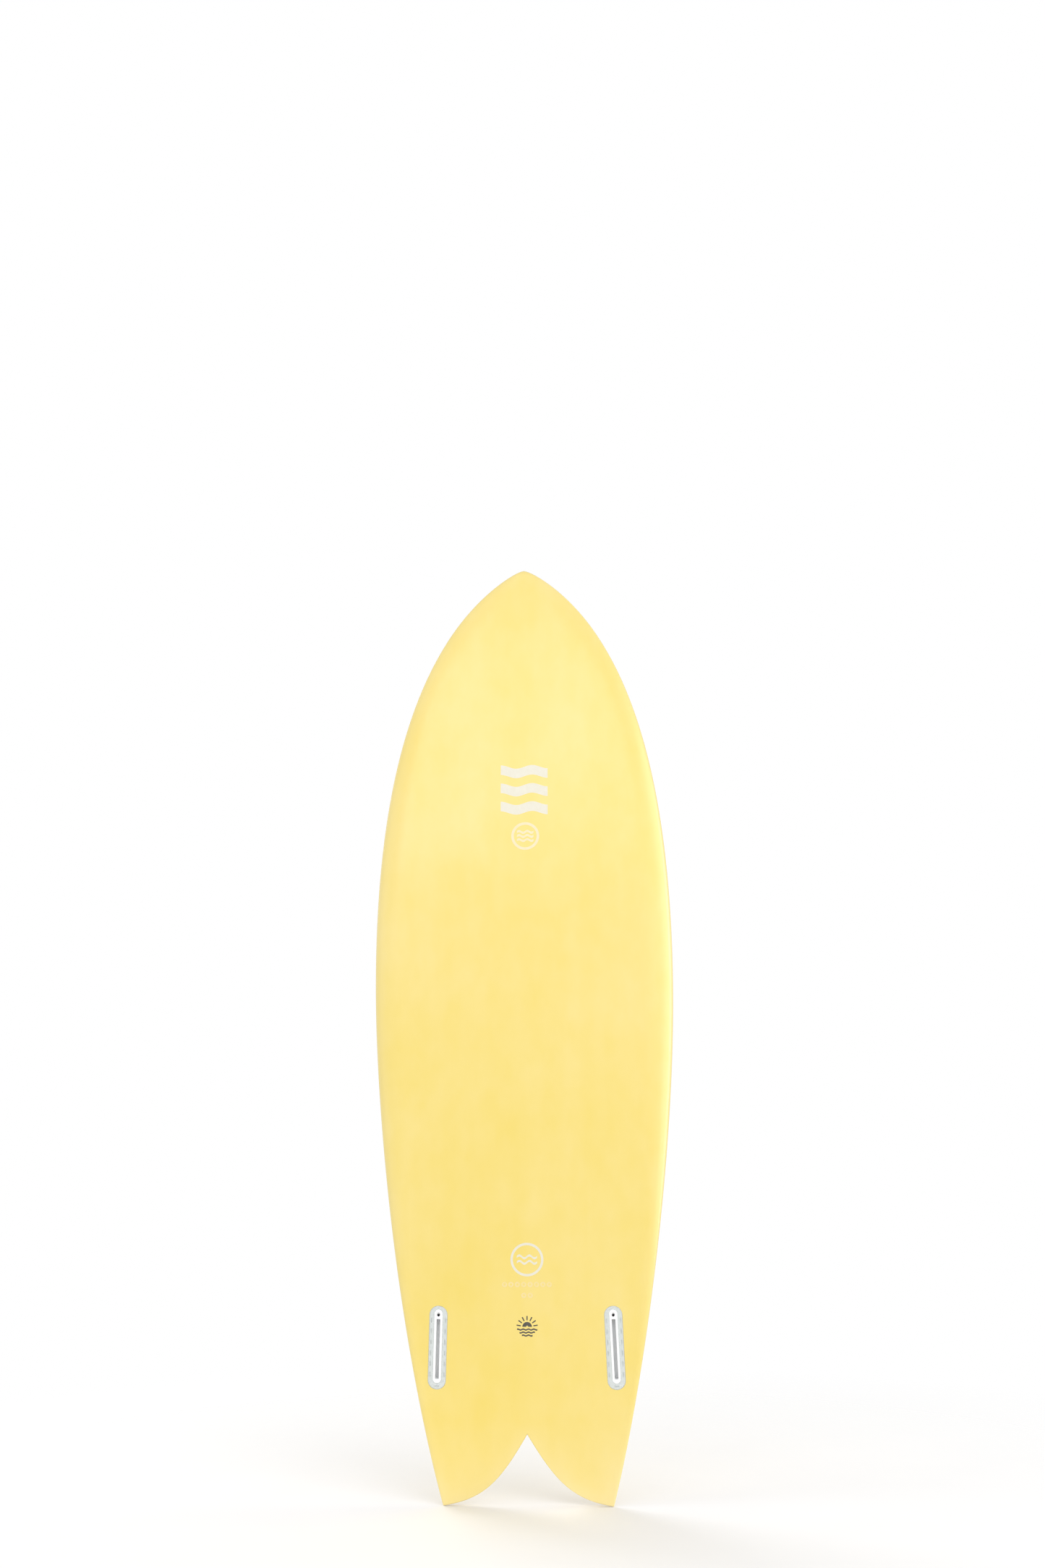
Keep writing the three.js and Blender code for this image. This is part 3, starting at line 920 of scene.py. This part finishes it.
def cup_profile():
    """Half section of the cup, from the middle of its base round the outside to the cavity's floor."""
    floor = -CUP["cavity_depth"]
    outer = CUP["radius"]
    inner = CUP["cavity_radius"]
    rim = quarter(CUP_RIM_ROUNDING)
    fillet = quarter(CUP_FLOOR_FILLET, 6)
    points = [(0, -CUP["depth"]), (outer, -CUP["depth"])]
    points += [(outer - inset, -drop) for inset, drop in reversed(rim)]
    points += [(inner + inset, -drop) for inset, drop in rim]
    points += [(inner - drop, floor + inset) for inset, drop in fillet]
    points.append((0, floor))
    return points


def make_cup(name):
    cup = turned(name, cup_profile())
    reach = CUP["radius"] + OVERCUT
    combine(cup, along_x(cylinder("pin_hole", PIN["radius"] + PIN["gap"], -reach, reach)))
    return cup


def make_pin(name):
    half = PIN["length"] / 2
    ends = quarter(PIN["rounding"])
    profile = [(0, -half)] + [(PIN["radius"] - inset, drop - half) for inset, drop in ends]
    profile += [(PIN["radius"] - inset, half - drop) for inset, drop in reversed(ends)] + [(0, half)]
    return along_x(turned(name, profile))


def make_plug_bed(name):
    bed = cylinder(name, PLUG_BED["radius"], -PLUG_BED["depth"], PLUG_SUNK)
    inside_base = -CUP["depth"] - CUP_GAP
    combine(bed, cylinder("inside", CUP["radius"] + PLUG_BED["gap"], inside_base, OVERCUT))
    return bed


def add_leash_plug(skin):
    height = float(levels(PLUG_FROM_TAIL)[2]) - PLUG_SUNK
    place = Matrix.Translation((PLUG_FROM_CENTRE, height, PLUG_FROM_TAIL))
    hole = cylinder("hole", PLUG_BED["radius"] + SKIN_GAP, -OVERCUT, OVERCUT)
    hole.data.transform(place)
    combine(skin, hole)

    cup = make_cup("leash_plug_cup_moulding")
    pin = make_pin("leash_plug_cross_pin")
    bed = make_plug_bed("leash_plug_resin_bed")
    for piece in (cup, pin, bed):
        piece.data.transform(place)
        smooth(piece)
    finish_piece(cup, BOX_PLASTIC, "board", "box_plastic", "leash_plug_cup")
    finish_piece(pin, PIN_STEEL, "board", "stainless", "leash_plug_pin")
    finish_piece(bed, BED_RESIN, "board", "clear_resin", "leash_plug_bed")


# ---- printed marks ----

class Print:
    """A print on the bottom, built up from ribbons that follow its surface as thin closed slabs."""

    def __init__(self):
        self.points = []
        self.faces = []

    def ribbon(self, first, second, closed=False):
        """Fills the space between two lines of (across, along) with the same number of points."""
        start = len(self.points)
        for line_points in zip(first, second):
            for lift in (-PRINT_PROUD, PRINT_SUNK):
                for x, z in line_points:
                    self.points.append((x, float(bottom_height(x, z)) + lift, z))
        count = len(first)
        for i in range(count if closed else count - 1):
            a = start + 4 * i
            b = start + 4 * ((i + 1) % count)
            self.faces += [(a, b, b + 1, a + 1), (a + 2, a + 3, b + 3, b + 2)]
            self.faces += [(a, a + 2, b + 2, b), (a + 1, b + 1, b + 3, a + 3)]
        if not closed:
            last = start + 4 * (count - 1)
            self.faces += [(start, start + 1, start + 3, start + 2), (last, last + 2, last + 3, last + 1)]

    def wave(self, middle, length, width, height, waves, steps=60):
        """A level stripe whose edges rise and fall."""
        shares = np.linspace(-0.5, 0.5, steps)
        across = middle[0] + length * shares
        along = middle[1] + height * np.sin(2 * math.pi * waves * shares)
        lines = [np.stack([across, along + side * width / 2], axis=1) for side in (1, -1)]
        self.ribbon(*lines)

    def ring(self, middle, radius, stroke, span=2 * math.pi, steps=72):
        """A ring, or with a smaller span a bow whose ends are level."""
        closed = span == 2 * math.pi
        start = (math.pi - span) / 2
        angles = np.linspace(start, start + span, steps, endpoint=not closed)
        ways = np.stack([np.cos(angles), np.sin(angles)], axis=1)
        self.ribbon(middle + radius * ways, middle + (radius - stroke) * ways, closed)

    def ray(self, middle, angle, near, far, width):
        """A short straight stroke that points away from the middle."""
        way = np.array([math.cos(angle), math.sin(angle)])
        side = np.array([-way[1], way[0]]) * width / 2
        ends = [middle + near * way, middle + far * way]
        self.ribbon([end + side for end in ends], [end - side for end in ends])

    def finish(self, name, material):
        piece = mesh_object(name, self.points, self.faces)
        edit(piece, merge_close)
        edit(piece, turn_outward)
        finish_piece(piece, material, "board", "decal_print")


def add_wave_stripes():
    middle = np.array([4 * MM, 1345 * MM])
    mark = Print()
    for height in (-36 * MM, 0, 36 * MM):
        mark.wave(middle + (0, height), length=91 * MM, width=19 * MM, height=3.5 * MM, waves=1.5)
    mark.finish("print_wave_stripes", CREAM_PRINT)


def add_upper_round_mark():
    middle = np.array([6 * MM, 1254 * MM])
    mark = Print()
    mark.ring(middle, radius=27 * MM, stroke=5 * MM)
    for height in (-8 * MM, 0, 8 * MM):
        mark.wave(middle + (0, height), length=32 * MM, width=4.4 * MM, height=1.7 * MM, waves=2)
    mark.finish("print_upper_round_mark", SOFT_PRINT)


def add_tail_ring():
    middle = np.array([3.5 * MM, 455 * MM])
    mark = Print()
    mark.ring(middle, radius=31 * MM, stroke=4.5 * MM)
    for height in (-5 * MM, 5 * MM):
        mark.wave(middle + (0, height), length=38 * MM, width=4 * MM, height=2.6 * MM, waves=2)
    mark.finish("print_tail_ring", CREAM_PRINT)


def add_faint_dots():
    centre = 3 * MM
    spacing = 12 * MM
    mark = Print()
    for along, count in ((409 * MM, 8), (389 * MM, 2)):
        for i in range(count):
            across = centre + (i - (count - 1) / 2) * spacing
            mark.ring(np.array([across, along]), radius=5 * MM, stroke=3 * MM, steps=24)
    mark.finish("print_faint_dots", FAINT_PRINT)


def add_sun_stamp():
    """Half a sun with rays over three lines of water, each shorter than the one above it."""
    middle = np.array([2.5 * MM, 331 * MM])
    lowest_ray = 0.16
    ripple = 10 * MM
    mark = Print()
    mark.ring(middle, radius=9 * MM, stroke=7 * MM, span=math.pi, steps=24)
    for angle in np.linspace(lowest_ray, math.pi - lowest_ray, 7):
        mark.ray(middle, angle, near=12 * MM, far=20 * MM, width=2.2 * MM)
    for row, length in enumerate((38 * MM, 29 * MM, 20 * MM)):
        below = (5 + 5.5 * row) * MM
        mark.wave(middle - (0, below), length, width=2.8 * MM, height=0.8 * MM, waves=length / ripple)
    mark.finish("print_sun_stamp", DARK_PRINT)


# ---- the assembly ----

BOTTOM_RESIN = tinted_resin("bottom tinted resin", with_lap=False)
DECK_RESIN = tinted_resin("deck tinted resin", with_lap=True)
BOX_PLASTIC = moulded_plastic("white moulded plastic", (0.885, 0.895, 0.90))
PATCH_RESIN = clear_glass_resin("clear glass patch", (0.765, 0.815, 0.80), 0.35)
BED_RESIN = clear_glass_resin("potting resin", (0.55, 0.60, 0.58), 0.9)
PIN_STEEL = stainless_steel("stainless steel pin", (0.50, 0.50, 0.495))
# The screw's steel is darkened nearly to black: painted shade for the dark bore that it sits deep in
SCREW_STEEL_IN_PAINTED_SHADE = stainless_steel("stainless steel screw in painted shade", (0.08, 0.08, 0.085))
FOAM = blank_foam("blank foam")
WOOD = stringer_wood("stringer wood")
CREAM_PRINT = print_ink("cream print", (0.735, 0.705, 0.600), (0.710, 0.675, 0.560))
SOFT_PRINT = print_ink("soft print", (0.790, 0.700, 0.480), (0.790, 0.680, 0.420))
FAINT_PRINT = print_ink("faint print", (0.800, 0.650, 0.330), (0.795, 0.635, 0.260))
DARK_PRINT = print_ink("dark print", (0.055, 0.048, 0.040), (0.11, 0.10, 0.075))


def add_board():
    bottom, deck, seam = skin_sheets()
    bottom_skin = make_skin("bottom_skin", bottom, seam, Vector((0, -1, 0)))
    deck_skin = make_skin("deck_skin", deck, seam, Vector((0, 1, 0)))
    for label, side in (("left", -1), ("right", 1)):
        add_fin_box(label, side, bottom_skin)
    add_leash_plug(deck_skin)
    for skin, material, node in (
        (bottom_skin, BOTTOM_RESIN, "bottom_laminate"),
        (deck_skin, DECK_RESIN, "deck_laminate"),
    ):
        smooth(skin, angle=40)
        finish_piece(skin, material, "board", "laminate", node)
        add_rail_distance(skin)


def add_marks():
    add_wave_stripes()
    add_upper_round_mark()
    add_tail_ring()
    add_faint_dots()
    add_sun_stamp()


def finish_hidden_nodes():
    for node, material in (
        ("foam_core_left", FOAM),
        ("foam_core_right", FOAM),
        ("stringer", WOOD),
        ("fin_box_bed_left", BED_RESIN),
        ("fin_box_bed_right", BED_RESIN),
    ):
        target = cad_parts[node]
        target.data.materials.clear()
        target.data.materials.append(material)


# ---- studio ----

CAMERA_PLACE = (0.2763, -4.1187, 0.8369)
CAMERA_YAW = math.radians(3.864)
CAMERA_PITCH = math.radians(7.241)
CAMERA_ROLL = math.radians(0.438)
CAMERA_LENS = 48.84
FLOOR_RADIUS = 30.0
FLOOR_GAP = 0.5 * MM
FLOOR_GREYS = ((0.81, 0.80, 0.795), (0.84, 0.83, 0.825))
FLOOR_FADE = (0.25, 1.8)
ROOM_LIGHT = 0.73
LIT_POINT = (0, 0, LENGTH / 2)

SOFTBOXES = {
    "high front softbox": {"place": (-0.6, -4.8, 3.9), "size": (4.4, 3.2), "energy": 50},
    "key softbox": {"place": (2.6, -3.8, 2.2), "size": (3.0, 2.8), "energy": 96, "glossy": False},
    "right softbox": {"place": (2.95, -0.85, 1.5), "size": (2.2, 3.4), "energy": 32, "diffuse": False},
    "right rim light": {"place": (3.0, 0.4, 1.1), "size": (0.9, 2.6), "energy": 21},
    "left fill": {"place": (-3.2, -1.2, 1.2), "size": (1.4, 2.4), "energy": 24, "glossy": False},
    "back fill": {"place": (-2.5, 3.0, 2.6), "size": (2.6, 2.2), "energy": 88, "glossy": False},
}


def add_camera():
    data = bpy.data.cameras.new("camera")
    data.lens = CAMERA_LENS
    camera = bpy.data.objects.new("camera", data)
    turn = Matrix.Rotation(CAMERA_YAW, 4, "Z") @ Matrix.Rotation(CAMERA_PITCH, 4, "X")
    level = Matrix.Rotation(CAMERA_ROLL, 4, "Y") @ Matrix.Rotation(math.pi / 2, 4, "X")
    camera.matrix_world = Matrix.Translation(CAMERA_PLACE) @ turn @ level
    bpy.context.scene.collection.objects.link(camera)
    bpy.context.scene.camera = camera


def add_softbox(name, place, size, energy, diffuse=True, glossy=True):
    """A soft lamp, which may be left out of the matte shading or out of the reflections."""
    data = bpy.data.lights.new(name, "AREA")
    data.shape = "RECTANGLE"
    data.size = size[0]
    data.size_y = size[1]
    data.energy = energy
    light = bpy.data.objects.new(name, data)
    light.location = place
    light.visible_diffuse = diffuse
    light.visible_glossy = glossy
    light.rotation_euler = (Vector(LIT_POINT) - Vector(place)).to_track_quat("-Z", "Y").to_euler()
    bpy.context.scene.collection.objects.link(light)


def add_floor():
    """A pale floor that fades away into the white of the studio."""
    outline = [(x, z, -FLOOR_GAP) for x, _, z in circle_ring(FLOOR_RADIUS, 0)]
    floor = mesh_object("floor", outline, [tuple(range(len(outline)))])
    graph = Graph("pale studio floor", Specular_IOR_Level=0.2)
    graph.colour(graph.mixed(graph.noise(3.0), *FLOOR_GREYS))
    graph.roughness(graph.mapped(graph.noise(12.0), to=(0.7, 0.8)))
    distance = graph.add("ShaderNodeVectorMath", operation="LENGTH")
    graph.link(graph.place, distance.inputs[0])
    fade = graph.mapped(distance.outputs["Value"], to=(1, 0), over=FLOOR_FADE)
    graph.link(fade, graph.shader.inputs["Alpha"])
    floor.data.materials.append(graph.material)


def add_world():
    """A white surround, whose light on the board is weaker than its own brightness."""
    world = bpy.data.worlds.new("studio")
    world.use_nodes = True
    nodes, links = world.node_tree.nodes, world.node_tree.links
    seen_directly = nodes.new("ShaderNodeLightPath").outputs["Is Camera Ray"]
    strength = nodes.new("ShaderNodeMapRange")
    strength.inputs["To Min"].default_value = ROOM_LIGHT
    strength.inputs["To Max"].default_value = 1.0
    background = nodes["Background"]
    background.inputs["Color"].default_value = (1, 1, 1, 1)
    links.new(seen_directly, strength.inputs["Value"])
    links.new(strength.outputs["Result"], background.inputs["Strength"])
    bpy.context.scene.world = world


def add_studio():
    add_world()
    add_floor()
    for name, settings in SOFTBOXES.items():
        add_softbox(name, **settings)
    bpy.context.scene.view_settings.view_transform = "Standard"


add_camera()
add_studio()
add_board()
add_marks()
finish_hidden_nodes()
